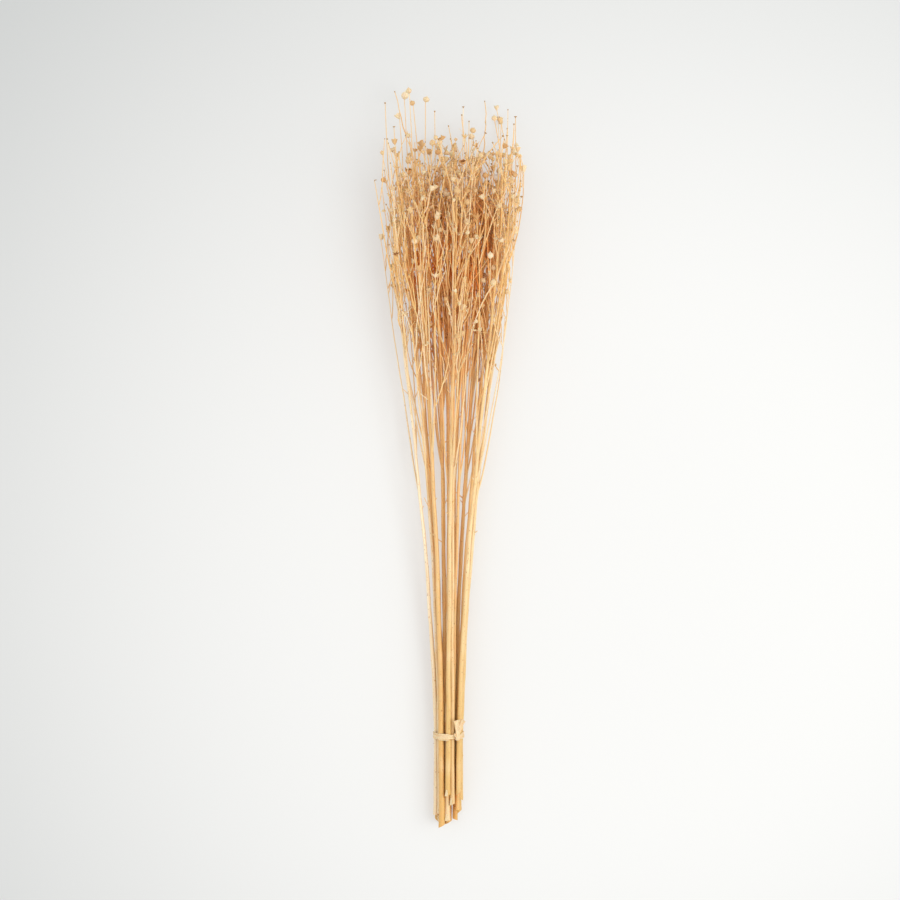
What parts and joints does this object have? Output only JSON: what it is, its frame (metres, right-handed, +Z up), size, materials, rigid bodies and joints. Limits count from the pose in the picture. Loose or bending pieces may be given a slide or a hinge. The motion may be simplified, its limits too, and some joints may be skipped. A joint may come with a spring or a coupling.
{
  "type": "bundle of dried seed-head stems",
  "caption": "Tied bundle of bleached, dried stems with branched tops and small round seed pods, lying on its side.",
  "frame": {"origin": "middle of the bundle's box, on the surface that it lies on", "axes": "+Y along the bundle from the cut ends to the seed heads, +X across it, +Z up from the surface"},
  "size_m": [0.1452, 0.7032, 0.0746],
  "materials": {
    "straw": "dried and bleached stems, satin, with papery pods",
    "raffia": "flat natural palm fibre strip, satin"
  },
  "bodies": {
    "root": {"stem_01": "straw", "stem_02": "straw", "stem_03": "straw", "stem_04": "straw", "stem_05": "straw", "stem_06": "straw", "stem_07": "straw", "stem_08": "straw", "stem_09": "straw", "stem_10": "straw", "stem_11": "straw", "stem_12": "straw", "stem_13": "straw", "stem_14": "straw", "stem_15": "straw", "stem_16": "straw", "stem_17": "straw", "stem_18": "straw", "stem_19": "straw", "stem_20": "straw", "raffia_tie": "raffia"}
  },
  "joints": []
}
